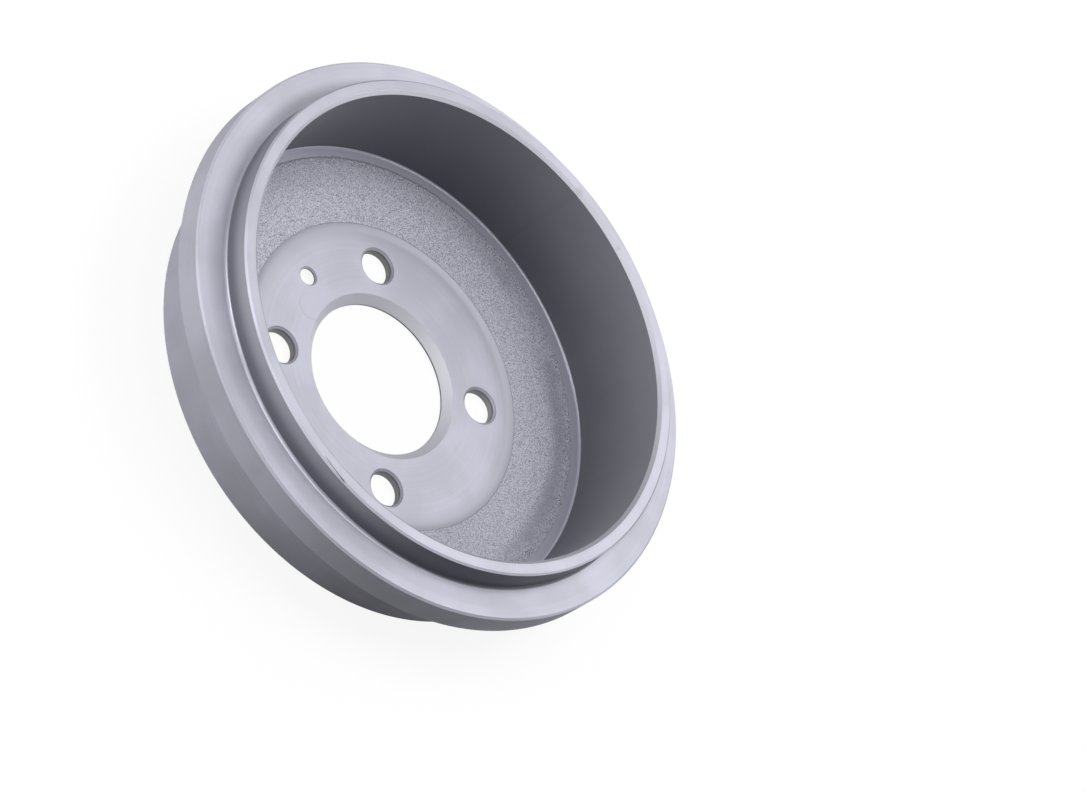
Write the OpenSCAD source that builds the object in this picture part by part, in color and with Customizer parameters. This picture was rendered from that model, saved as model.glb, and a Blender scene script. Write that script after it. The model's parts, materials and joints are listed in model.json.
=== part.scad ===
// Brake drum: one iron casting, turned all over except for a cast ring in its floor.
// Units are millimetres. +Z is the drum's axis and points out of its open mouth.
// The origin is the centre of the closed face, which lies against the wheel.

/* [Braking surface] */
// Diameter of the turned wall that the shoes rub on
braking_d = 200; // [190:1:215]
// Fillet at the foot of that wall
braking_root_r = 1.2; // [0.6:0.1:2]
// Width of the bevel at the mouth's inner edge
mouth_bevel_w = 1.4; // [0.5:0.1:2]
// Height of the bevel at the mouth's inner edge
mouth_bevel_h = 1.3; // [0.5:0.1:2]

/* [Barrel] */
// Height from the closed face to the rim
drum_h = 59; // [54:1:75]
// Wall outside the braking surface
barrel_wall = 4.7; // [4:0.1:6]
// How far the band beside the closed face is set in from the barrel
end_band_step = 0.8; // [0.8:0.1:1.5]
// Height of that band
end_band_h = 10.6; // [9:0.1:14]
// Bevel on the edge of the band and on the edge of its step
end_bevel = 0.5; // [0.2:0.05:0.7]

/* [Flange] */
// Outside diameter of the stiffening flange
flange_d = 240; // [240:1:260]
// Thickness of the flange
flange_t = 13.4; // [9:0.1:16]
// Bevel on the flange edge nearer the mouth
flange_front_bevel = 0.85; // [0.3:0.05:1.5]
// Bevel on the flange edge nearer the closed face
flange_back_bevel = 1; // [0.3:0.05:1.5]
// Fillets where the flange meets the lip and the barrel
flange_root_r = 1.4; // [0.6:0.1:2.5]

/* [Lip] */
// Height of the lip that stands above the flange
lip_h = 12.8; // [8:0.1:16]
// Wall of the lip outside the braking surface
lip_wall = 6.3; // [5:0.1:8]
// Bevel on the lip's outer edge
lip_bevel = 0.85; // [0.3:0.05:1.2]

/* [Floor] */
// Thickness of the flat hub seat in the middle
hub_t = 4.6; // [4.2:0.1:6]
// Diameter over the hub seat and the edge that sweeps up round it
hub_seat_d = 134; // [130:1:150]
// Width of that swept edge
hub_sweep_w = 4; // [1:0.5:5]
// Height of that swept edge
hub_sweep_h = 0.9; // [0.5:0.1:1]
// Rise of the cast ring from the swept edge out to the relief ring
cast_rise = 2.1; // [1:0.1:3]
// Width of the turned relief ring at the foot of the braking surface
relief_w = 5; // [3:0.1:8]

/* [Bore and wheel holes] */
// Diameter of the centre bore
bore_d = 65.5; // [54:0.5:72]
// Wide bevel on the inner end of the bore
bore_bevel = 3.4; // [1:0.1:3.5]
// Number of stud holes for the wheel
stud_n = 4; // [4:1:5]
// Diameter of the circle that the stud holes lie on
stud_circle_d = 100; // [98:1:105]
// Diameter of a stud hole
stud_d = 14.5; // [12:0.5:16]
// Bevel on the inner end of a stud hole
stud_bevel = 1; // [0.4:0.1:1.5]
// Bevel on the outer end of the bore and of the stud holes
outer_bevel = 0.4; // [0.2:0.05:0.5]
// Diameter of the small hole for the screw that holds the drum to the hub
screw_d = 7.2; // [6.6:0.1:9]
// Bevel on the inner end of that hole
screw_bevel = 0.7; // [0.3:0.1:1]
// Diameter of its countersink, which opens on the closed face
countersink_d = 13.8; // [11:0.1:14]

/* [Hidden] */
$fn = 120;
braking_r = braking_d / 2;
barrel_r = braking_r + barrel_wall;
end_band_r = barrel_r - end_band_step;
lip_r = braking_r + lip_wall;
flange_r = flange_d / 2;
flange_front_z = drum_h - lip_h;
flange_back_z = flange_front_z - flange_t;
// The floor climbs from the hub seat over its swept edge and the cast ring to the relief ring
cast_inner_r = hub_seat_d / 2;
cast_inner_z = hub_t + hub_sweep_h;
relief_r = braking_r - relief_w;
relief_z = cast_inner_z + cast_rise;
stud_r = stud_circle_d / 2;
// The small hole sits midway between two stud holes
screw_angle = -180 / stud_n;
// Cuts run on past the faces, and each fillet reaches into the metal beside it
over = 5;
bite = 0.3;

// The metal left in an inside corner at the origin, whose faces run along +X and +Y.
// Its arc leaves the first face smoothly at w and meets the second at height h,
// so it is a quarter round where w and h are equal.
module fillet(w, h) {
  radius = (w * w + h * h) / (2 * h);
  difference() {
    translate([-bite, -bite])
      square([w + bite, h + bite]);
    translate([w, radius])
      circle(r = radius);
  }
}

// Outline of the turned outside, from the closed face up to the rim
module outer_section() {
  polygon([
    [0, 0],
    [end_band_r - end_bevel, 0],
    [end_band_r, end_bevel],
    [end_band_r, end_band_h],
    [barrel_r - end_bevel, end_band_h],
    [barrel_r, end_band_h + end_bevel],
    [barrel_r, flange_back_z],
    [flange_r - flange_back_bevel, flange_back_z],
    [flange_r, flange_back_z + flange_back_bevel],
    [flange_r, flange_front_z - flange_front_bevel],
    [flange_r - flange_front_bevel, flange_front_z],
    [lip_r, flange_front_z],
    [lip_r, drum_h - lip_bevel],
    [lip_r - lip_bevel, drum_h],
    [0, drum_h]
  ]);
  translate([lip_r, flange_front_z])
    fillet(flange_root_r, flange_root_r);
  translate([barrel_r, flange_back_z])
    mirror([0, 1])
      fillet(flange_root_r, flange_root_r);
}

// Outline of the space inside, from the hub seat up through the mouth
module inner_section()
  difference() {
    polygon([
      [0, hub_t],
      [cast_inner_r, hub_t],
      [cast_inner_r, cast_inner_z],
      [relief_r, relief_z],
      [braking_r, relief_z],
      [braking_r, drum_h - mouth_bevel_h],
      [braking_r + mouth_bevel_w, drum_h],
      [braking_r + mouth_bevel_w, drum_h + over],
      [0, drum_h + over]
    ]);
    translate([cast_inner_r, hub_t])
      mirror([1, 0])
        fillet(hub_sweep_w, hub_sweep_h);
    translate([braking_r, relief_z])
      mirror([1, 0])
        fillet(braking_root_r, braking_root_r);
  }

// A round hole through the hub seat, bevelled at 45 degrees on both ends
module bevelled_hole(d, inner, outer) {
  r = d / 2;
  rotate_extrude()
    polygon([
      [0, -over],
      [r + outer + over, -over],
      [r, outer],
      [r, hub_t - inner],
      [r + inner + over, hub_t + over],
      [0, hub_t + over]
    ]);
}

module brake_drum()
  color([0.72, 0.72, 0.78])
    difference() {
      rotate_extrude()
        difference() {
          outer_section();
          inner_section();
        }
      bevelled_hole(bore_d, bore_bevel, outer_bevel);
      for (i = [0 : stud_n - 1])
        rotate(i * 360 / stud_n)
          translate([stud_r, 0, 0])
            bevelled_hole(stud_d, stud_bevel, outer_bevel);
      rotate(screw_angle)
        translate([stud_r, 0, 0])
          bevelled_hole(screw_d, screw_bevel, (countersink_d - screw_d) / 2);
    }

brake_drum();
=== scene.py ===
import json

import bmesh
import bpy
import numpy as np
from mathutils import Matrix, Vector


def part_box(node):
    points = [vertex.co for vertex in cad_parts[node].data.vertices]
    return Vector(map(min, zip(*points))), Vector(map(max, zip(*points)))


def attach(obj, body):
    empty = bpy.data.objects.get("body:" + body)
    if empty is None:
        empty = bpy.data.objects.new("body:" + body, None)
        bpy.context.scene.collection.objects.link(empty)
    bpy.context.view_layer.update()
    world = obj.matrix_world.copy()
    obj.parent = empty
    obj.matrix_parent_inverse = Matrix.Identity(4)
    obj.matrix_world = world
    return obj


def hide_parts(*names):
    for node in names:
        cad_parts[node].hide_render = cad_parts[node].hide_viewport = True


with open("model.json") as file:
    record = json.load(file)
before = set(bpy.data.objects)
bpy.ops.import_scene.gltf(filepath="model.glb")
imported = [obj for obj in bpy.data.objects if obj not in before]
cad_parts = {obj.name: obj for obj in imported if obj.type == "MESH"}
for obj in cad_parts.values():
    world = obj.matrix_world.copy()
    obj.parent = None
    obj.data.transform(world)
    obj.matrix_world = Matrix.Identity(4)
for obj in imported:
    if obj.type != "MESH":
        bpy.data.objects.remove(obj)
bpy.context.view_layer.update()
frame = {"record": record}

# Sizes in millimetres, in the drum's own frame: z = 0 is the closed face
MM = 0.001
NODE = "brake_drum"
mounts = {m["name"]: m for m in frame["record"]["mounts"]}
low_corner, high_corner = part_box(NODE)

braking_r = mounts["braking_surface"]["dims"]["r_mm"]
braking_root_r = 1.2
mouth_bevel_w = 1.4
mouth_bevel_h = 1.3

drum_h = (high_corner.z - low_corner.z) / MM
barrel_wall = 4.7
barrel_r = braking_r + barrel_wall
end_band_step = 0.8
end_band_r = barrel_r - end_band_step
end_band_h = 10.6
end_bevel = 0.5

lip_h = 12.8
lip_wall = 6.3
lip_r = braking_r + lip_wall
lip_bevel = 0.85

flange_r = round(high_corner.x / MM, 1)
flange_t = 13.4
flange_front_z = drum_h - lip_h
flange_back_z = flange_front_z - flange_t
flange_front_bevel = 0.85
flange_back_bevel = 1.0
flange_root_r = 1.4

hub_t = mounts["hub_seat"]["pos_m"][2] / MM
hub_sweep_r = 67.0
hub_sweep_w = 4.0
hub_sweep_h = 0.9
hub_plate_r = hub_sweep_r - hub_sweep_w
cast_rise = 2.1
relief_w = 5.0
relief_r = braking_r - relief_w
relief_z = hub_t + hub_sweep_h + cast_rise

bore_r = mounts["centre_bore"]["dims"]["r_mm"]
bore_bevel = 3.4
stud_circle_r = mounts["stud_holes"]["dims"]["pcd_mm"] / 2
stud_n = mounts["stud_holes"]["dims"]["count"]
stud_r = mounts["stud_holes"]["dims"]["hole_r_mm"]
stud_bevel = 1.0
outer_bevel = 0.4
screw_r = mounts["screw_hole"]["dims"]["r_mm"]
screw_bevel = 0.7
screw_x, screw_y, _ = mounts["screw_hole"]["pos_m"]
screw_deg = round(np.degrees(np.arctan2(screw_y, screw_x))) % 360
countersink_r = 6.9

# Mesh fineness: steps round the drum, in a quarter-round fillet, and along and across a plate's sector
ROUND_STEPS = 800
FILLET_STEPS = 8
SIDE_STEPS = 10
RAY_STEPS = 3
# The plate with the holes is cut into this many sectors, so that none has more than one hole
SECTORS = 8
# A row this far inside a flat stretch keeps its shading flat up to a smooth join
HOLD = 0.12
# Points nearer to each other than this are one
MERGE = 0.002
# Edges that turn by more than this stay crisp
CREASE_DEG = 28


# Surfaces

def grid_faces(rows, columns, closed):
    """Quads of a grid whose points are numbered row by row; closed joins the last column to the first."""
    last = columns if closed else columns - 1
    i, j = np.meshgrid(np.arange(rows - 1), np.arange(last), indexing="ij")
    k = (j + 1) % columns
    quads = np.stack([i * columns + j, i * columns + k, (i + 1) * columns + k, (i + 1) * columns + j], -1)
    return quads.reshape(-1, 4)


def revolve(profile):
    """Turns a profile of (r, z) rows about +Z: x = r cos t, y = r sin t."""
    t = np.arange(ROUND_STEPS) * 2 * np.pi / ROUND_STEPS
    r, z = np.array(profile).T[:, :, None]
    points = np.stack([r * np.cos(t), r * np.sin(t), z + 0 * t], -1)
    return points.reshape(-1, 3), grid_faces(len(profile), ROUND_STEPS, True)


def line(start, end, smooth_start=False, smooth_end=False):
    """Rows of a straight stretch: its ends, and a holding row inside each end that joins smoothly."""
    a, b = np.array(start, float), np.array(end, float)
    hold = HOLD / np.linalg.norm(b - a)
    shares = [0] + [hold] * smooth_start + [1 - hold] * smooth_end + [1]
    return [tuple(a + (b - a) * s) for s in shares]


def arc(centre, radius, start_deg, end_deg):
    """Rows of a round stretch: the centre plus radius times (cos a, sin a), in equal steps of a."""
    angles = np.radians(np.linspace(start_deg, end_deg, FILLET_STEPS + 1))
    return [(centre[0] + radius * np.cos(a), centre[1] + radius * np.sin(a)) for a in angles]


def joined(*stretches):
    """One profile from stretches that share their end points."""
    rows = [stretches[0][0]]
    for stretch in stretches:
        rows += stretch[1:]
    return rows


# The drum's turned outline

def outside_profile():
    """From the closed face over the band, barrel, flange and lip to the foot of the braking surface.

    The fillets between straight stretches are quarter circles, and a plain list of corners has crisp edges.
    """
    root = flange_root_r
    foot = braking_root_r
    back_corner = (flange_r - flange_back_bevel, flange_back_z)
    front_corner = (flange_r - flange_front_bevel, flange_front_z)
    return joined(
        [
            (hub_plate_r, 0),
            (end_band_r - end_bevel, 0),
            (end_band_r, end_bevel),
            (end_band_r, end_band_h),
            (barrel_r - end_bevel, end_band_h),
            (barrel_r, end_band_h + end_bevel),
        ],
        line((barrel_r, end_band_h + end_bevel), (barrel_r, flange_back_z - root), smooth_end=True),
        arc((barrel_r + root, flange_back_z - root), root, 180, 90),
        line((barrel_r + root, flange_back_z), back_corner, smooth_start=True),
        [
            back_corner,
            (flange_r, flange_back_z + flange_back_bevel),
            (flange_r, flange_front_z - flange_front_bevel),
            front_corner,
        ],
        line(front_corner, (lip_r + root, flange_front_z), smooth_end=True),
        arc((lip_r + root, flange_front_z + root), root, 270, 180),
        line((lip_r, flange_front_z + root), (lip_r, drum_h - lip_bevel), smooth_start=True),
        [
            (lip_r, drum_h - lip_bevel),
            (lip_r - lip_bevel, drum_h),
            (braking_r + mouth_bevel_w, drum_h),
            (braking_r, drum_h - mouth_bevel_h),
        ],
        line((braking_r, drum_h - mouth_bevel_h), (braking_r, relief_z + foot), smooth_end=True),
        arc((braking_r - foot, relief_z + foot), foot, 0, -90),
    )


def floor_profile():
    """From the braking surface's foot over the flat relief ring, down the cast cone and its swept edge.

    The swept edge is the arc that leaves the seat level and climbs hub_sweep_h over hub_sweep_w.
    """
    sweep = (hub_sweep_w**2 + hub_sweep_h**2) / (2 * hub_sweep_h)
    sweep_deg = np.degrees(np.arcsin(hub_sweep_w / sweep))
    return joined(
        line((braking_r - braking_root_r, relief_z), (relief_r, relief_z), True, True),
        line((relief_r, relief_z), (hub_sweep_r, hub_t + hub_sweep_h), smooth_start=True),
        arc((hub_plate_r, hub_t + sweep), sweep, sweep_deg - 90, -90),
    )


# Plates with holes

def sector_angles(middle):
    """Equal steps of t across the sector whose middle lies at that angle."""
    steps = ROUND_STEPS // SECTORS
    return middle + 2 * np.pi / SECTORS * (np.arange(steps + 1) / steps - 0.5)


def sector_outline(inner, outer, middle):
    """Points round one sector of a ring, x = r cos t and y = r sin t: outer arc, side, inner arc, side."""
    t = sector_angles(middle)
    inwards = outer + (inner - outer) * np.arange(1, SIDE_STEPS) / SIDE_STEPS
    r = np.concatenate([np.full(len(t), outer), inwards, np.full(len(t), inner), inwards[::-1]])
    a = np.concatenate([t, np.full(len(inwards), t[-1]), t[::-1], np.full(len(inwards), t[0])])
    return np.stack([r * np.cos(a), r * np.sin(a)], -1)


def holed_sector(inner, outer, middle, centre, hole_r, z):
    """Rays from a hole's edge out to its sector's outline: each point is edge + v (outline - edge)."""
    outline = sector_outline(inner, outer, middle)
    ray = outline - centre
    edge = centre + hole_r * ray / np.linalg.norm(ray, axis=1, keepdims=True)
    v = np.linspace(0, 1, RAY_STEPS + 1)[:, None, None]
    flat = edge + v * (outline - edge)
    points = np.concatenate([flat, np.full(flat.shape[:2] + (1,), z)], -1)
    return points.reshape(-1, 3), grid_faces(RAY_STEPS + 1, len(outline), True)


def plain_sector(inner, outer, middle, z):
    """A sector of a flat ring: x = r cos t, y = r sin t on an even grid of r and t."""
    t = sector_angles(middle)
    r = outer + (inner - outer) * np.arange(SIDE_STEPS + 1)[:, None] / SIDE_STEPS
    points = np.stack([r * np.cos(t), r * np.sin(t), np.full((SIDE_STEPS + 1, len(t)), z)], -1)
    return points.reshape(-1, 3), grid_faces(SIDE_STEPS + 1, len(t), False)


def hole_wall(inner, outer, middle, centre, rows):
    """The wall of a hole: points at its sector's ray angles, carried through rows of (radius, z)."""
    ray = sector_outline(inner, outer, middle) - centre
    unit = ray / np.linalg.norm(ray, axis=1, keepdims=True)
    points = [np.column_stack([centre + r * unit, np.full(len(unit), z)]) for r, z in rows]
    return np.concatenate(points), grid_faces(len(rows), len(unit), True)


def hub_plate():
    """The seat, the closed face under it, and the walls of the bore and of the holes through both."""
    ring = (bore_r + bore_bevel, hub_plate_r)
    holes = {i * 360 // stud_n: (stud_r, stud_bevel, outer_bevel) for i in range(stud_n)}
    holes[screw_deg] = (screw_r, screw_bevel, countersink_r - screw_r)
    patches = []
    for degrees in range(0, 360, 360 // SECTORS):
        middle = np.radians(degrees)
        if degrees not in holes:
            patches += [plain_sector(*ring, middle, hub_t), plain_sector(*ring, middle, 0.0)]
            continue
        r, inner, outer = holes[degrees]
        centre = stud_circle_r * np.array([np.cos(middle), np.sin(middle)])
        wall = [(r + inner, hub_t), (r, hub_t - inner), (r, outer), (r + outer, 0)]
        patches.append(holed_sector(*ring, middle, centre, r + inner, hub_t))
        patches.append(holed_sector(*ring, middle, centre, r + outer, 0.0))
        patches.append(hole_wall(*ring, middle, centre, wall))
    bore = [
        (bore_r + bore_bevel, hub_t),
        (bore_r, hub_t - bore_bevel),
        (bore_r, outer_bevel),
        (bore_r + outer_bevel, 0),
        (bore_r + bore_bevel, 0),
    ]
    patches.append(revolve(bore))
    return patches


def drum_mesh(name):
    """One closed mesh of the whole drum."""
    patches = [revolve(outside_profile()), revolve(floor_profile()), *hub_plate()]
    starts = np.cumsum([0] + [len(points) for points, _ in patches])
    points = np.concatenate([points for points, _ in patches]) * MM
    faces = np.concatenate([quads + start for (_, quads), start in zip(patches, starts)])
    mesh = bpy.data.meshes.new(name)
    mesh.from_pydata(points.tolist(), [], faces.tolist())
    work = bmesh.new()
    work.from_mesh(mesh)
    bmesh.ops.remove_doubles(work, verts=work.verts, dist=MERGE * MM)
    bmesh.ops.recalc_face_normals(work, faces=work.faces)
    work.to_mesh(mesh)
    work.free()
    mesh.polygons.foreach_set("use_smooth", np.ones(len(mesh.polygons), bool))
    mesh.set_sharp_from_angle(angle=np.radians(CREASE_DEG))
    return mesh


# Directions, colours and nodes

MATH = "ShaderNodeMath"
VECTOR_MATH = "ShaderNodeVectorMath"
NOISE = "ShaderNodeTexNoise"
VORONOI = "ShaderNodeTexVoronoi"
# What a mix node mixes, with the numbers of its two inputs and of its output
COLOUR = ("RGBA", 6, 7, 2)
VALUE = ("FLOAT", 2, 3, 0)


def towards(azimuth, elevation=0.0):
    """The unit vector at that azimuth, from +X towards +Y, and elevation, in degrees."""
    a, e = np.radians([azimuth, elevation])
    return Vector((np.cos(e) * np.cos(a), np.cos(e) * np.sin(a), np.sin(e)))


def linear(hex_colour):
    """The linear values of an sRGB hex colour, with an alpha of one."""
    v = np.array([int(hex_colour[i:i + 2], 16) for i in (1, 3, 5)]) / 255
    v = np.where(v <= 0.04045, v / 12.92, ((v + 0.055) / 1.055) ** 2.4)
    return (*v, 1.0)


def new_material(name):
    """An empty node material and its tree."""
    material = bpy.data.materials.new(name)
    material.use_nodes = True
    material.node_tree.nodes.clear()
    return material, material.node_tree


def node(tree, kind, inputs=None, **settings):
    """Adds one node with its settings. An input is a value, or a socket or node whose output is linked."""
    made = tree.nodes.new(kind)
    for key, value in settings.items():
        setattr(made, key, value)
    for key, value in (inputs or {}).items():
        if isinstance(value, bpy.types.Node):
            value = value.outputs[0]
        if isinstance(value, bpy.types.NodeSocket):
            tree.links.new(value, made.inputs[key])
        else:
            made.inputs[key].default_value = value
    return made


def share(tree, *limits):
    """How far a point lies inside all its limits, 0 to 1: the product of their shares.

    A limit is a share by itself, or a value with where it is just outside and where it is just inside. From
    the one to the other its share rises in a soft step.
    """
    product = None
    for limit in limits:
        if isinstance(limit, tuple):
            value, outside, inside = limit
            inputs = {"Value": value, "From Min": outside, "From Max": inside}
            limit = node(tree, "ShaderNodeMapRange", inputs, interpolation_type="SMOOTHSTEP")
        if product is None:
            product = limit
        else:
            product = node(tree, MATH, {0: product, 1: limit}, operation="MULTIPLY")
    return product


def close_to(tree, value, centre, outside, inside):
    """0 where a value is further than outside from its centre, and 1 where it is nearer than inside."""
    offset = node(tree, MATH, {0: value, 1: centre}, operation="SUBTRACT")
    offset = node(tree, MATH, {0: offset}, operation="ABSOLUTE")
    return share(tree, (offset, outside, inside))


def strongest(tree, first, *others):
    """The largest of several shares."""
    for other in others:
        first = node(tree, MATH, {0: first, 1: other}, operation="MAXIMUM")
    return first


def laid_over(tree, kind, base, *layers):
    """A colour or a value with others laid over it in turn. A layer is its share and what it lays on."""
    data_type, lower, upper, result = kind
    for amount, layer in layers:
        inputs = {0: amount, lower: base, upper: layer}
        base = node(tree, "ShaderNodeMix", inputs, data_type=data_type).outputs[result]
    return base


class Place:
    """Where a point of the drum lies, in millimetres: its plan, height and distance from the axis."""

    def __init__(self, tree):
        metres = node(tree, "ShaderNodeTexCoord").outputs["Object"]
        self.tree = tree
        self.point = node(tree, VECTOR_MATH, {0: metres, "Scale": 1 / MM}, operation="SCALE").outputs[0]
        parts = node(tree, "ShaderNodeSeparateXYZ", {"Vector": self.point}).outputs
        self.plan = node(tree, "ShaderNodeCombineXYZ", {"X": parts["X"], "Y": parts["Y"]})
        self.height = parts["Z"]
        self.radius = self.away_from(Vector((0, 0, 0)))

    def away_from(self, centre):
        """How far the point lies from a centre, in the plan."""
        inputs = {0: self.plan, 1: tuple(centre)}
        return node(self.tree, VECTOR_MATH, inputs, operation="DISTANCE").outputs["Value"]

    def along(self, degrees):
        """How far out the point lies in that direction, which is given as degrees round from +X."""
        inputs = {0: self.plan, 1: tuple(towards(degrees))}
        return node(self.tree, VECTOR_MATH, inputs, operation="DOT_PRODUCT").outputs["Value"]

    def cosine(self, degrees):
        """1 on the side of the axis at that direction, 0 beside it and -1 opposite."""
        return node(self.tree, MATH, {0: self.along(degrees), 1: self.radius}, operation="DIVIDE")

    def on_side(self, degrees, outside, inside):
        """How much the point lies on one side: 0 where its cosine is outside, 1 where it is inside."""
        return share(self.tree, (self.cosine(degrees), outside, inside))

    def shifted(self, offset):
        """The point moved by an offset, so that a second pattern differs from the first."""
        return node(self.tree, VECTOR_MATH, {0: self.point, 1: offset}, operation="ADD")


# Where each finish lies

# Half the width over which most finishes pass into the next, and the same at the edge of a bevel
SOFT = 0.1
CRISP = 0.03
# The floor's finishes start above this height, so that the closed face stays plain
FLOOR_Z = 2.0
# A fillet's finish starts at its ends and is full from this share of its radius inwards
FILLET_SHARE = 0.8
# The rubbed wall begins in the foot fillet, from the first to the second height over the relief ring
WALL_START = (0.35, 0.8)
# The coat thins towards the swept edge over this width of the seat, and ends this far past it
THIN_W = 6.0
THIN_END = 1.0
# The ring that the wheel holes lie in ends, and is full, this far past their bevels. Their walls are darker
# down to this depth under the bevel
HOLE_MARGIN = (2.0, 1.0)
HOLE_EDGE_DEPTH = 1.0
# The front's finish reaches this far down the flange's bevel
FRONT_REACH = 0.3
# The flange's front has the lip's painted shade and painted light beside the lip: from this far out in the
# root, fading between the next two
BESIDE_LIP_START = 0.6
BESIDE_LIP_FADE = (2.0, 8.0)
# The lip wall's painted shade takes in this share of the root's radius, and it ends this far above the
# front
LIP_WALL_SHARE = 0.4
LIP_WALL_END = 0.3

# The cut leaves the cast skin's edges ragged: how many swings they make in a millimetre, and how far the
# outer edge wanders, the same on its crisp side, and how far the inner edge does
RAGS_PER_MM = 0.6
RAGGED_OUTER = 2.4
CRISP_OUTER = 1.0
RAGGED_INNER = 0.5

# Sides of the drum, as degrees round from +X, with the cosine from there at which each begins and is full.
# The lip's root is in painted shadow on the low side and shines on the rest, and a painted shadow line
# edges the skin's crisp side
SHADOWED_LOW_SIDE = (112, 0.6, 0.97)
UNSHADOWED_SIDE = (112, 0.97, 0.6)
CRISP_SIDE = (285, 0.5, 0.9)
# Painted light: the coat is painted lightest on these sides of the front, beside the lip, in the lip's root
# and on the lip's bevel
FRONT_LIT_SIDE = (150, -1.0, 1.0)
BESIDE_LIP_LIT_SIDE = (60, -0.5, 0.5)
ROOT_HIGHLIGHT_SIDE = (62, 0.75, 0.97)
LIP_EDGE_LIT_SIDE = (60, -0.6, 1.0)
# Painted light: the top of the lip's outer wall and the mouth's bevel are painted lightest here, where
# light falls on them
LIP_TOP_LIT_SIDE = (30, 0.5, 0.95)
MOUTH_LIT_SIDE = (265, -1.0, 1.0)
# Painted shade: the cast skin is painted darkest on one side, in its band and, more weakly, all over
DULL_BAND_SHADED_SIDE = (155, -0.7, 0.9)
SKIN_SHADED_SIDE = (155, -1.0, 1.0)
# Painted highlight: the bore's bevel is painted lightest towards this side and the opposite one, where a
# turned cone's highlights fall
BORE_HIGHLIGHT_DEG = 200


def skin_edges(at):
    """The distance from the axis as the skin's outer and its inner edge see it, and the crisp side's share.

    Each distance is the radius plus the edge's reach times a noise round 0.
    """
    rags = node(at.tree, NOISE, {"Vector": at.point, "Scale": RAGS_PER_MM, "Detail": 3.0})
    rags = node(at.tree, MATH, {0: rags, 1: 0.5}, operation="SUBTRACT")
    crisp = at.on_side(*CRISP_SIDE)
    reach = laid_over(at.tree, VALUE, RAGGED_OUTER, (crisp, CRISP_OUTER))
    outer_r = node(at.tree, MATH, {0: rags, 1: reach, 2: at.radius}, operation="MULTIPLY_ADD")
    inner_r = node(at.tree, MATH, {0: rags, 1: RAGGED_INNER, 2: at.radius}, operation="MULTIPLY_ADD")
    return outer_r, inner_r, crisp


def floor_places(at, outer_r, inner_r):
    """Shares of the whole floor, the finishes and holes in it, and the wall that the shoes rub on."""
    tree = at.tree
    floor = share(tree, (at.height, FLOOR_Z, FLOOR_Z + SOFT))
    within = share(tree, (at.radius, braking_r + SOFT, braking_r + CRISP))
    ring = share(tree, (outer_r, relief_r - SOFT, relief_r + SOFT), within, floor)
    stud_edge_z = hub_t - stud_bevel
    hole_ring_ends = [stud_r + stud_bevel + margin for margin in HOLE_MARGIN]
    return {
        "floor": floor,
        "skin": share(
            tree,
            (outer_r, relief_r + SOFT, relief_r - SOFT),
            (inner_r, hub_sweep_r - SOFT, hub_sweep_r + SOFT),
            floor,
        ),
        "ring": ring,
        "foot": share(
            tree,
            (at.radius, braking_r - braking_root_r, braking_r - braking_root_r * FILLET_SHARE),
            (at.height, relief_z + braking_root_r, relief_z + braking_root_r * FILLET_SHARE),
            ring,
        ),
        "sweep": share(
            tree,
            (at.radius, hub_plate_r - THIN_W, hub_sweep_r),
            (at.radius, hub_sweep_r + THIN_END, hub_sweep_r),
            floor,
        ),
        "holes": share(
            tree,
            close_to(tree, at.radius, stud_circle_r, *hole_ring_ends),
            (at.height, stud_edge_z + SOFT / 2, stud_edge_z - SOFT / 2),
            (at.height, SOFT / 2, outer_bevel),
        ),
        "bore_bevel": share(
            tree,
            (at.radius, bore_r + bore_bevel + CRISP, bore_r + bore_bevel - CRISP),
            (at.height, hub_t - bore_bevel - CRISP, hub_t - bore_bevel + CRISP),
        ),
        "braking_wall": share(
            tree,
            (at.height, relief_z + WALL_START[0], relief_z + WALL_START[1]),
            within,
        ),
    }


def front_places(at, shadowed_low_side):
    """Shares of the flange's front, the lip with its root, wall and bevel, the rim and the mouth's bevel.

    On the shadowed low side the lip wall's painted shade reaches a millimetre further into its root.
    """
    tree = at.tree
    front = share(
        tree,
        (at.height, flange_front_z - FRONT_REACH, flange_front_z - SOFT),
        (at.radius, braking_r, braking_r + SOFT),
    )
    drawn_in = node(tree, MATH, {0: at.radius, 1: shadowed_low_side}, operation="SUBTRACT")
    raised = node(tree, MATH, {0: at.height, 1: shadowed_low_side}, operation="ADD")
    lip_edge_r = lip_r - lip_bevel
    lip_edge_z = drum_h - lip_bevel
    return {
        "front": front,
        "beside_lip": share(
            tree,
            (at.radius, lip_r + BESIDE_LIP_START, lip_r + flange_root_r),
            (at.radius, lip_r + BESIDE_LIP_FADE[1], lip_r + BESIDE_LIP_FADE[0]),
            front,
        ),
        "root": share(
            tree,
            (at.radius, lip_r, lip_r + SOFT),
            (at.radius, lip_r + flange_root_r, lip_r + flange_root_r * FILLET_SHARE),
            (at.height, flange_front_z - SOFT, flange_front_z),
            (at.height, flange_front_z + flange_root_r, flange_front_z + flange_root_r * FILLET_SHARE),
            at.on_side(*UNSHADOWED_SIDE),
        ),
        "lip_wall": share(
            tree,
            (at.radius, lip_r - SOFT, lip_r - SOFT / 2),
            (drawn_in, lip_r + flange_root_r * LIP_WALL_SHARE, lip_r + SOFT / 2),
            (raised, flange_front_z + LIP_WALL_END, flange_front_z + flange_root_r),
        ),
        "lip_edge": share(
            tree,
            (at.radius, lip_edge_r - SOFT, lip_edge_r + SOFT),
            (at.height, lip_edge_z - SOFT, lip_edge_z + SOFT),
        ),
        "rim": share(tree, (at.height, drum_h - 2 * SOFT, drum_h - SOFT)),
        "mouth_bevel": share(
            tree,
            (at.radius, braking_r, braking_r + CRISP),
            (at.radius, braking_r + mouth_bevel_w + SOFT, braking_r + mouth_bevel_w),
            (at.height, drum_h - 2 * mouth_bevel_h, drum_h - 1.5 * mouth_bevel_h),
        ),
    }


# The coat

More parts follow.
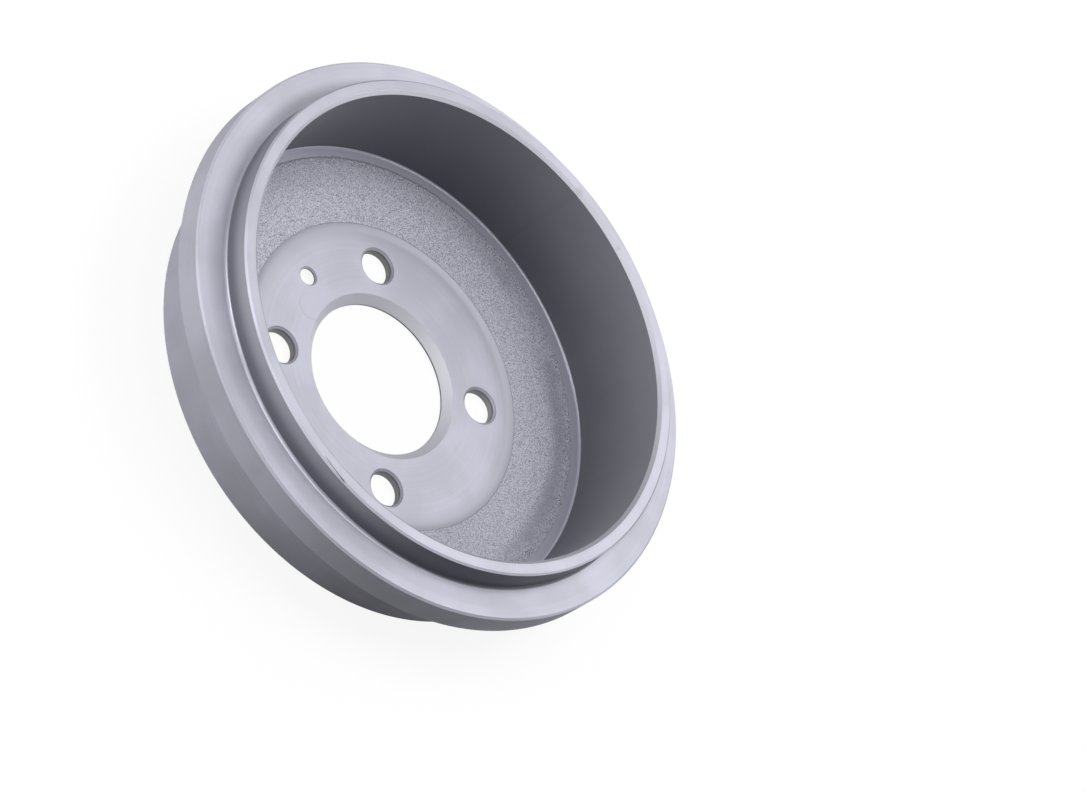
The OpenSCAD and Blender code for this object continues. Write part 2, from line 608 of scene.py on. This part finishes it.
COAT_DARK = linear("#b2b2be")
COAT_LIGHT = linear("#bdbdcb")
COAT_THIN = linear("#a6a6b2")
RELIEF = linear("#b6b6c5")
# Painted shade: the braking wall is painted darkest deep inside and lighter towards the mouth
WALL_DEEP_SHADE = linear("#6b6b73")
WALL_MOUTH = linear("#888890")
HOLE_EDGE = linear("#918e90")
HOLE = linear("#cfcccc")
# Painted highlight on the mouth's bevel: its tone on the unlit side and in the highlight
MOUTH_BEVEL_UNLIT = linear("#8a8a94")
MOUTH_BEVEL_HIGHLIGHT = linear("#ccccd6")
# Painted highlight on the bore's bevel: its tone between the highlights and in them
BORE_BEVEL_UNLIT = linear("#cccbd5")
BORE_BEVEL_HIGHLIGHT = linear("#f2f2fa")
# Painted shade on the lip's outer wall: its tone, darker at its root, darkest in painted shadow on the low
# side, and painted light at its top
LIP_SHADE = linear("#7f7f8a")
LIP_ROOT_SHADE = linear("#62636d")
LIP_LOW_SHADOW = linear("#50525c")
LIP_TOP_LIT = linear("#a2a2ac")

# The coat's thickness is cloudy, a few centimetres wide, with turned bands a millimetre or two wide
CLOUDS_PER_MM = 0.04
BANDS_PER_MM = 0.7
CLOUD_PART = 0.82
BAND_PART = 0.18
# The part of that noise over which the coat goes from dark to light
COAT_NOISE = (0.35, 0.65)
# The tool's grooves have their real feed of 0.25 mm and are 0.01 mm deep
GROOVES_PER_MM = 4.0
GROOVE_DEPTH = 0.01
GROOVE_STRENGTH = 0.3

# Painted light and shade on the coat in these places: the lit side, and the level opposite it and on it
PAINTED_LIGHT_LEVELS = {
    "front": (FRONT_LIT_SIDE, 0.87, 1.06),
    "beside_lip": (BESIDE_LIP_LIT_SIDE, 0.64, 1.22),
    "root": (ROOT_HIGHLIGHT_SIDE, 1.0, 1.4),
}
# The rim's level. Painted light on the lip's bevel: the level opposite its lit side and on it
RIM_LEVEL = 0.955
LIP_EDGE_LIGHT_LEVELS = (0.6, 1.25)
# How far the clouds move the height at which the braking wall's painted shade gives way to a lighter tone,
# in all, and how far that change reaches past the wall's ends
WALL_CLOUD = 20.0
WALL_MARGIN = 4.0
# Painted light: the heights over the flange's front between which the lip's wall is painted lighter, and
# its top lighter still
LIP_LIGHT_RISE = (1.0, 9.0)
LIP_TOP_LIGHT_RISE = (4.0, 11.0)


def coat_colour(at, tone, on):
    """Cloudy between dark and light, times the painted light and shade of each place, and thinner on the
    swept edge.
    """
    tree = at.tree
    colour = laid_over(tree, COLOUR, COAT_DARK, (share(tree, (tone, *COAT_NOISE)), COAT_LIGHT))
    level = laid_over(tree, VALUE, 1.0, (on["rim"], RIM_LEVEL))
    for place, (side, opposite, lightest) in PAINTED_LIGHT_LEVELS.items():
        here = laid_over(tree, VALUE, opposite, (at.on_side(*side), lightest))
        here = laid_over(tree, VALUE, 1.0, (on[place], here))
        level = node(tree, MATH, {0: level, 1: here}, operation="MULTIPLY")
    opposite, lightest = LIP_EDGE_LIGHT_LEVELS
    lip_edge = laid_over(tree, VALUE, opposite, (at.on_side(*LIP_EDGE_LIT_SIDE), lightest))
    level = laid_over(tree, VALUE, level, (on["lip_edge"], lip_edge))
    colour = node(tree, VECTOR_MATH, {0: colour, "Scale": level}, operation="SCALE")
    return laid_over(tree, COLOUR, colour, (on["sweep"], COAT_THIN))


def braking_wall_shaded_colour(at, tone):
    """Painted shade: darker deep inside than at the mouth, by the height plus WALL_CLOUD times the cloudy
    tone.
    """
    height = node(at.tree, MATH, {0: tone, 1: WALL_CLOUD, 2: at.height}, operation="MULTIPLY_ADD")
    deep = relief_z - WALL_MARGIN + WALL_CLOUD / 2
    shallow = drum_h + WALL_MARGIN + WALL_CLOUD / 2
    return laid_over(at.tree, COLOUR, WALL_DEEP_SHADE, (share(at.tree, (height, deep, shallow)), WALL_MOUTH))


def hole_colour(at):
    """The walls of the wheel holes, darker beside the bevel on their inner end."""
    edge_z = hub_t - stud_bevel
    deeper = share(at.tree, (at.height, edge_z, edge_z - HOLE_EDGE_DEPTH))
    return laid_over(at.tree, COLOUR, HOLE_EDGE, (deeper, HOLE))


def mouth_bevel_highlight_colour(at):
    """Painted highlight: pale on the side where the light catches it, and darker opposite."""
    return laid_over(at.tree, COLOUR, MOUTH_BEVEL_UNLIT, (at.on_side(*MOUTH_LIT_SIDE), MOUTH_BEVEL_HIGHLIGHT))


def bore_bevel_highlight_colour(at):
    """Painted highlight: lightest on two opposite sides, by the square of the cosine."""
    cosine = at.cosine(BORE_HIGHLIGHT_DEG)
    return laid_over(at.tree, COLOUR, BORE_BEVEL_UNLIT, (share(at.tree, cosine, cosine), BORE_BEVEL_HIGHLIGHT))


def lip_wall_shade_colour(at, shadowed_low_side):
    """The lip's outer wall in painted shade: lighter upwards, with painted light most on one side, and
    darkest in painted shadow on the low one.
    """
    tree = at.tree
    rise = node(tree, MATH, {0: at.height, 1: flange_front_z}, operation="SUBTRACT")
    upwards = share(tree, (rise, *LIP_LIGHT_RISE))
    top = share(tree, (rise, *LIP_TOP_LIGHT_RISE), at.on_side(*LIP_TOP_LIT_SIDE))
    return laid_over(tree, COLOUR, LIP_ROOT_SHADE, (upwards, LIP_SHADE), (top, LIP_TOP_LIT), (shadowed_low_side, LIP_LOW_SHADOW))


# The cast skin

SAND_DARK = linear("#7a7a89")
SAND_LIGHT = linear("#d0d0dd")
PIT = linear("#3f4048")
FLAKE = linear("#dcdce6")
# The dull band's tone, which also paints shade on one side of the skin
DULL_AND_SHADE = linear("#7d808e")

# Sand grains of 0.4 mm lie on lumps of 0.7 mm, with deeper pits among them. The relief is 0.2 mm deep
GRAINS_PER_MM = 2.7
LUMPS_PER_MM = 1.5
BUMPS_PER_MM = 2.6
PITS_PER_MM = 1.9
GRAIN_DEPTH = 0.2
GRAIN_PART = 0.6
LUMP_PART = 0.42
PIT_SHARE = 0.8
PIT_HEIGHT = 0.4
# The pits and the torn edge's chips are moved by these, so that they don't repeat the bumps
PITS_SHIFT = (31.0, 17.0, 5.0)
CHIPS_SHIFT = (7.0, 11.0, 3.0)
# The parts of those noises over which a lump rises, the sand goes from dark to light, and a pit opens
LUMP_NOISE = (0.08, 0.7)
SAND_NOISE = (0.1, 0.9)
PIT_NOISE = (0.37, 0.29)

# The skin's dull band, darker and smoother, and painted darker still on one side as shade: its middle and
# half its width, and the clouds in which it shows. The skin gets duller outwards from this far inside that
# middle.
# Then how dark the band, the skin outside it, and the painted shade on one side of all the skin are
DULL_R = 88.8
DULL_HALF_W = 10.0
DULL_CLOUDS = (0.25, 0.6)
DULL_START = 15.0
DULL_BAND_SHARE = 0.74
DULL_OUTSIDE_SHARE = 0.4
SKIN_SIDE_SHADE_SHARE = 0.28

# The skin's outer edge is torn along stretches of a centimetre, into chips 0.6 mm wide. The middle of the
# tear lies this far inside the relief ring
TEARS_PER_MM = 0.12
CHIPS_PER_MM = 1.7
TEAR_INSET = 1.2
FLAKE_SHARE = 0.8
# The parts of those noises over which a tear, a flake and a crack show
TEAR_NOISE = (0.42, 0.6)
FLAKE_NOISE = (0.62, 0.7)
CRACK_NOISE = (0.4, 0.32)
# The least share of cracks that the edge has where it isn't torn
CRACKS_ANYWHERE = 0.45

# How dark the dirt in the torn edge's cracks is, the painted shadow along the crisp edge, and the dark
# lines along the skin's inner edge, round the stud holes' bevels and on the step inside them
CRACK_DIRT = 0.75
CRISP_SHADOW = 0.38
INNER_LINE_DARKNESS = 0.25
ARRIS_DARKNESS = 0.35
STEP_DARKNESS = 0.55

# Half the width of each of these lines: where it ends and where it is full. The step's line reaches this
# far past the hole's wall
TEAR_LINE = (2.2, 0.6)
CRISP_LINE = (0.8, 0.2)
INNER_LINE = (0.35, 0.05)
ARRIS_LINE = (0.3, 0.1)
STEP_LINE = (0.35, 0.15)
STEP_REACH = 0.3


def sand_colour(at, clouds, pits):
    """Grain of light and dark sand with pits, under the patchy dull band and painted shade on one side."""
    tree = at.tree
    grains = node(tree, VORONOI, {"Vector": at.point, "Scale": GRAINS_PER_MM}).outputs["Color"]
    lumps = node(tree, VORONOI, {"Vector": at.point, "Scale": LUMPS_PER_MM})
    lumps = share(tree, (lumps, *LUMP_NOISE), LUMP_PART)
    grain = node(tree, MATH, {0: grains, 1: GRAIN_PART, 2: lumps}, operation="MULTIPLY_ADD")
    band = share(
        tree,
        close_to(tree, at.radius, DULL_R, DULL_HALF_W, 0.0),
        at.on_side(*DULL_BAND_SHADED_SIDE),
        (clouds, *DULL_CLOUDS),
        DULL_BAND_SHARE,
    )
    outside = share(tree, (at.radius, DULL_R - DULL_START, relief_r), DULL_OUTSIDE_SHARE)
    # Painted shade on one side of all the skin
    one_side_shade = share(tree, at.on_side(*SKIN_SHADED_SIDE), SKIN_SIDE_SHADE_SHARE)
    return laid_over(
        tree,
        COLOUR,
        SAND_DARK,
        (share(tree, (grain, *SAND_NOISE)), SAND_LIGHT),
        (share(tree, (pits, *PIT_NOISE), PIT_SHARE), PIT),
        (strongest(tree, band, outside, one_side_shade), DULL_AND_SHADE),
    )


def torn_edge(at, outer_r):
    """The shares of the pale flakes and of the dark cracks along the skin's outer edge."""
    tree = at.tree
    edge = close_to(tree, outer_r, relief_r - TEAR_INSET, *TEAR_LINE)
    torn = node(tree, NOISE, {"Vector": at.point, "Scale": TEARS_PER_MM, "Detail": 1.0})
    torn = share(tree, (torn, *TEAR_NOISE))
    chips = node(tree, NOISE, {"Vector": at.shifted(CHIPS_SHIFT), "Scale": CHIPS_PER_MM, "Detail": 0.0})
    flakes = share(tree, edge, torn, (chips, *FLAKE_NOISE))
    cracks = share(tree, edge, strongest(tree, torn, CRACKS_ANYWHERE), (chips, *CRACK_NOISE))
    return flakes, cracks


def from_nearest_stud(at):
    """How far a point lies from the axis of the nearest stud hole, in the plan.

    The holes lie on X and Y. So the plan is folded: without their signs, its larger part is the new X and
    its smaller one the new Y, and the nearest hole then lies on +X.
    """
    tree = at.tree
    parts = node(tree, VECTOR_MATH, {0: at.plan}, operation="ABSOLUTE")
    parts = node(tree, "ShaderNodeSeparateXYZ", {"Vector": parts}).outputs
    larger = strongest(tree, parts["X"], parts["Y"])
    smaller = node(tree, MATH, {0: parts["X"], 1: parts["Y"]}, operation="MINIMUM")
    folded = node(tree, "ShaderNodeCombineXYZ", {"X": larger, "Y": smaller})
    inputs = {0: folded, 1: (stud_circle_r, 0.0, 0.0)}
    return node(tree, VECTOR_MATH, inputs, operation="DISTANCE").outputs["Value"]


def dirt_and_shade_lines(at, outer_r, inner_r, crisp, cracks):
    """Dirt in the cracks, painted shadow along the skin's crisp outer edge, and dark lines along its inner
    edge and round the stud holes.
    """
    tree = at.tree
    from_stud = from_nearest_stud(at)
    step_r = stud_r + STEP_REACH
    step = close_to(tree, at.height, hub_t - stud_bevel, *STEP_LINE)
    return strongest(
        tree,
        share(tree, cracks, CRACK_DIRT),
        # Painted shadow along the step at the skin's crisp edge
        share(tree, close_to(tree, outer_r, relief_r, *CRISP_LINE), crisp, CRISP_SHADOW),
        share(tree, close_to(tree, inner_r, hub_sweep_r, *INNER_LINE), INNER_LINE_DARKNESS),
        share(tree, close_to(tree, from_stud, stud_r + stud_bevel, *ARRIS_LINE), ARRIS_DARKNESS),
        share(tree, step, (from_stud, step_r + SOFT, step_r), STEP_DARKNESS),
    )


# Faint marks

# Part of a round mark beside the bore: its centre, its radius, the side of it that shows, round from +X,
# how far out on that side it begins and is full, half its line's width, and how dark it is
ROUND_MARK = Vector((33.9, -22.2, 0.0))
ROUND_MARK_R = 6.2
ROUND_MARK_SIDE_DEG = 38
ROUND_MARK_SPAN = (-3.0, 5.0)
ROUND_MARK_LINE = (0.6, 0.1)
ROUND_MARK_SHARE = 0.11

# Smudges on the rim: distance from the axis, degrees round from +X, and size. The middle of each is full,
# and it is broken into dashes that follow the rim and show over this part of their noise
SMUDGES = [(101.9, 231, 3.0), (101.5, 215, 1.5)]
SMUDGE_CORE = 0.3
SMUDGE_SHARE = 0.35
DASHES_PER_MM = 3.0
DASH_NOISE = (0.4, 0.6)

# The nick on the lip's outer bevel: degrees round from +X, radius in the middle, length, slant outwards,
# half its line's width, the length of its tapered ends, and how dark it is
NICK_DEG = 50.6
NICK_R = 105.25
NICK_LENGTH = 14.0
NICK_SLANT = 0.075
NICK_LINE = (0.3, 0.1)
NICK_TAPER = 2.0
NICK_SHARE = 0.8


def round_mark(at):
    """A fine circle, of which one side shows."""
    middle = ROUND_MARK.dot(towards(ROUND_MARK_SIDE_DEG))
    return share(
        at.tree,
        close_to(at.tree, at.away_from(ROUND_MARK), ROUND_MARK_R, *ROUND_MARK_LINE),
        (at.along(ROUND_MARK_SIDE_DEG), middle + ROUND_MARK_SPAN[0], middle + ROUND_MARK_SPAN[1]),
        ROUND_MARK_SHARE,
    )


def smudges(at):
    """Soft spots, broken into short dashes along the rim."""
    dashes = node(at.tree, NOISE, {"W": at.radius, "Scale": DASHES_PER_MM}, noise_dimensions="1D")
    dashes = share(at.tree, (dashes, *DASH_NOISE))
    spots = []
    for smudge_r, degrees, size in SMUDGES:
        away = at.away_from(towards(degrees) * smudge_r)
        spots.append(share(at.tree, (away, size, SMUDGE_CORE), dashes, SMUDGE_SHARE))
    return spots


def nick(at):
    """A fine dark line across the bevel: its radius is NICK_R plus the slant times the way along it."""
    tree = at.tree
    along = at.along(NICK_DEG + 90)
    line_r = node(tree, MATH, {0: along, 1: NICK_SLANT, 2: NICK_R}, operation="MULTIPLY_ADD")
    return share(
        tree,
        close_to(tree, at.radius, line_r, *NICK_LINE),
        close_to(tree, along, 0.0, NICK_LENGTH / 2, NICK_LENGTH / 2 - NICK_TAPER),
        (at.along(NICK_DEG), 0.0, 1.0),
        (at.height, drum_h - lip_bevel - 2 * SOFT, drum_h - lip_bevel - SOFT),
        NICK_SHARE,
    )


# The drum's material

# How metallic and how rough each finish is. The fillets are turned with a round tool and are the smoothest
COAT_GLOSS = (0.22, 0.5)
GLOSS = {
    "skin": (0.1, 0.55),
    "ring": (0.35, 0.42),
    "foot": (0.12, 0.2),
    "root": (0.42, 0.4),
}


def turned_patterns(at):
    """The coat's clouds, its tone and the tool's grooves.

    Bands and grooves follow the profile, along which the radius plus the height changes. The tone is the
    clouds times their part plus the bands times theirs.
    """
    tree = at.tree
    profile = node(tree, MATH, {0: at.radius, 1: at.height}, operation="ADD")
    clouds = node(tree, NOISE, {"Vector": at.point, "Scale": CLOUDS_PER_MM, "Detail": 3.0})
    bands = node(tree, NOISE, {"W": profile, "Scale": BANDS_PER_MM, "Detail": 2.0}, noise_dimensions="1D")
    cuts = {"W": profile, "Scale": GROOVES_PER_MM, "Detail": 1.0}
    grooves = node(tree, NOISE, cuts, noise_dimensions="1D")
    cloudy = node(tree, MATH, {0: clouds, 1: CLOUD_PART}, operation="MULTIPLY")
    tone = node(tree, MATH, {0: bands, 1: BAND_PART, 2: cloudy}, operation="MULTIPLY_ADD")
    return clouds, tone, grooves


def surface_relief(at, grooves, pits, rough):
    """The tool's grooves everywhere, and over them the sand's bumps and pits where the surface is rough."""
    tree = at.tree
    turned = node(tree, "ShaderNodeBump", {
        "Height": grooves,
        "Distance": GROOVE_DEPTH * MM,
        "Strength": GROOVE_STRENGTH,
    })
    bumps = node(tree, NOISE, {"Vector": at.point, "Scale": BUMPS_PER_MM, "Detail": 0.0})
    grain = node(tree, MATH, {0: pits, 1: PIT_HEIGHT, 2: bumps}, operation="MULTIPLY_ADD")
    return node(tree, "ShaderNodeBump", {
        "Height": share(tree, grain, rough),
        "Distance": GRAIN_DEPTH * MM,
        "Strength": 1.0,
        "Normal": turned,
    })


def zinc_flake_coated_iron():
    """Grey iron, turned and then coated with silver-grey zinc flake paint.

    The flakes lie in a matt binder, so the turned faces look pale and satin with a faint metal gloss. The
    cast skin in the floor keeps its sand grain and pits. The wall that the shoes rub on has only a thin
    coat and looks darker, with painted shade deeper inside. The bevels of the mouth and of the bore carry
    painted highlights, and the lip's wall is painted in shade, darkest on the shadowed low side.
    """
    material, tree = new_material("zinc_flake_coated_iron")
    at = Place(tree)
    outer_r, inner_r, crisp = skin_edges(at)
    shadowed_low_side = at.on_side(*SHADOWED_LOW_SIDE)
    on = floor_places(at, outer_r, inner_r) | front_places(at, shadowed_low_side)

    clouds, tone, grooves = turned_patterns(at)
    pits = node(tree, NOISE, {"Vector": at.shifted(PITS_SHIFT), "Scale": PITS_PER_MM, "Detail": 1.0})
    flakes, cracks = torn_edge(at, outer_r)
    dirt_and_shade = dirt_and_shade_lines(at, outer_r, inner_r, crisp, cracks)
    marks = strongest(tree, round_mark(at), *smudges(at), nick(at))
    # Painted shade on the braking wall and the lip's wall, painted highlights on the mouth's and bore's
    # bevels, and a painted shadow line in the dark lines
    colour = laid_over(
        tree,
        COLOUR,
        coat_colour(at, tone, on),
        (on["skin"], sand_colour(at, clouds, pits)),
        (on["ring"], RELIEF),
        (on["braking_wall"], braking_wall_shaded_colour(at, tone)),
        (on["holes"], hole_colour(at)),
        (on["mouth_bevel"], mouth_bevel_highlight_colour(at)),
        (on["bore_bevel"], bore_bevel_highlight_colour(at)),
        (on["lip_wall"], lip_wall_shade_colour(at, shadowed_low_side)),
        (share(tree, flakes, on["floor"], FLAKE_SHARE), FLAKE),
        (share(tree, dirt_and_shade, on["floor"]), PIT),
        (share(tree, marks, on["floor"]), PIT),
    )

    rough = strongest(tree, on["skin"], share(tree, cracks, on["floor"]))
    metallic = laid_over(tree, VALUE, COAT_GLOSS[0], *[(on[place], GLOSS[place][0]) for place in GLOSS])
    roughness = laid_over(tree, VALUE, COAT_GLOSS[1], *[(on[place], GLOSS[place][1]) for place in GLOSS])
    shader = node(tree, "ShaderNodeBsdfPrincipled", {
        "Base Color": colour,
        "Metallic": metallic,
        "Roughness": roughness,
        "Normal": surface_relief(at, grooves, pits, rough),
    })
    node(tree, "ShaderNodeOutputMaterial", {"Surface": shader})
    return material


# The drum

drum = bpy.data.objects.new("turned_drum", drum_mesh("turned_drum"))
bpy.context.scene.collection.objects.link(drum)
drum.data.materials.append(zinc_flake_coated_iron())
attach(drum, "root")
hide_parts(NODE)


# Studio: floor, soft lamps and camera

WHITE = (1.0, 1.0, 1.0, 1.0)
CARD = linear("#7c7c7e")
# How white the floor is to the camera, and how white floor and world are where the drum mirrors them
FLOOR_WHITE = 0.9
MIRRORED_WHITE = 0.3
# The floor's length and width in metres
FLOOR_SIZE = 12.0


def background_white(tree, seen):
    """How white the background is: seen to the camera, and dimmer in reflections and through glass."""
    rays = node(tree, "ShaderNodeLightPath").outputs
    mirrored = strongest(tree, rays["Is Glossy Ray"], rays["Is Transmission Ray"])
    return strongest(tree, share(tree, rays["Is Camera Ray"], seen), share(tree, mirrored, MIRRORED_WHITE))


def white_studio_floor():
    """Matt card. The camera sees it almost white with the drum's shadow, and it lights the drum as grey."""
    material, tree = new_material("white_studio_floor")
    camera_ray = node(tree, "ShaderNodeLightPath").outputs["Is Camera Ray"]
    tone = laid_over(tree, COLOUR, CARD, (camera_ray, WHITE))
    card = node(tree, "ShaderNodeBsdfDiffuse", {"Color": tone})
    glow = node(tree, "ShaderNodeEmission", {"Color": WHITE, "Strength": 1.0})
    surface = node(tree, "ShaderNodeMixShader", {0: background_white(tree, FLOOR_WHITE), 1: card, 2: glow})
    node(tree, "ShaderNodeOutputMaterial", {"Surface": surface})
    return material


def add_floor():
    """A square sheet under the closed face."""
    half = FLOOR_SIZE / 2
    corners = [(-half, -half, 0), (half, -half, 0), (half, half, 0), (-half, half, 0)]
    mesh = bpy.data.meshes.new("floor")
    mesh.from_pydata(corners, [], [(0, 1, 2, 3)])
    mesh.materials.append(white_studio_floor())
    floor = bpy.data.objects.new("floor", mesh)
    bpy.context.scene.collection.objects.link(floor)


# Each softbox's name, azimuth and elevation in degrees, and watts
SOFTBOXES = [
    ("low_left_softbox", -9, 10, 22.0),
    ("high_left_softbox", 0, 72, 9.4),
    ("high_right_softbox", 180, 72, 11.6),
    ("back_softbox", 225, 50, 6.1),
    ("low_right_softbox", 160, 15, 4.8),
    ("low_back_softbox", 235, 8, 8.5),
]
# Their side, and how far they stand from the middle of the drum, in metres
SOFTBOX_SIZE = 0.9
SOFTBOX_DISTANCE = 1.6


def add_softbox(name, azimuth, elevation, watts):
    """A square lamp that faces the middle of the drum from that direction."""
    lamp = bpy.data.lights.new(name, "AREA")
    lamp.shape = "SQUARE"
    lamp.size = SOFTBOX_SIZE
    lamp.energy = watts
    box = bpy.data.objects.new(name, lamp)
    bpy.context.scene.collection.objects.link(box)
    aim = Vector((0, 0, drum_h / 2 * MM))
    out = towards(azimuth, elevation)
    turn = out.to_track_quat("Z", "Y").to_matrix().to_4x4()
    box.matrix_world = Matrix.Translation(aim + out * SOFTBOX_DISTANCE) @ turn


def add_world():
    """White to the camera past the floor's end, dimmer where the drum mirrors it, and no other light."""
    world = bpy.data.worlds.new("studio")
    world.use_nodes = True
    tree = world.node_tree
    tree.nodes.clear()
    light = node(tree, "ShaderNodeBackground", {"Color": WHITE, "Strength": background_white(tree, 1.0)})
    node(tree, "ShaderNodeOutputWorld", {"Surface": light})
    bpy.context.scene.world = world


# The camera's direction, roll, distance and lens were solved from the drum's circles in the photograph.
# Angles are in degrees, and the distance and the aim in metres
VIEW_AZIMUTH = 37.66
VIEW_ELEVATION = 43.35
VIEW_ROLL = 58.85
VIEW_DISTANCE = 2.0308
VIEW_AIM = (-0.0625, 0.0031, 0.030)
FOCAL_PIXELS = 5000
IMAGE_WIDTH = 1086
SENSOR_MM = 36
CLIP_END = 50


def add_camera():
    """A camera that looks back along the view direction at the aim, rolled clockwise in the picture."""
    data = bpy.data.cameras.new("camera")
    data.sensor_width = SENSOR_MM
    data.lens = FOCAL_PIXELS / IMAGE_WIDTH * SENSOR_MM
    data.clip_end = CLIP_END
    camera = bpy.data.objects.new("camera", data)
    bpy.context.scene.collection.objects.link(camera)
    back = towards(VIEW_AZIMUTH, VIEW_ELEVATION)
    level_right = Vector((0, 0, 1)).cross(back).normalized()
    level_up = back.cross(level_right)
    roll = np.radians(VIEW_ROLL)
    right = level_right * np.cos(roll) + level_up * np.sin(roll)
    up = back.cross(right)
    turn = Matrix((right, up, back)).transposed().to_4x4()
    camera.matrix_world = Matrix.Translation(Vector(VIEW_AIM) + back * VIEW_DISTANCE) @ turn
    bpy.context.scene.camera = camera


add_floor()
for name, azimuth, elevation, watts in SOFTBOXES:
    add_softbox(name, azimuth, elevation, watts)
add_world()
add_camera()
bpy.context.scene.view_settings.view_transform = "Standard"
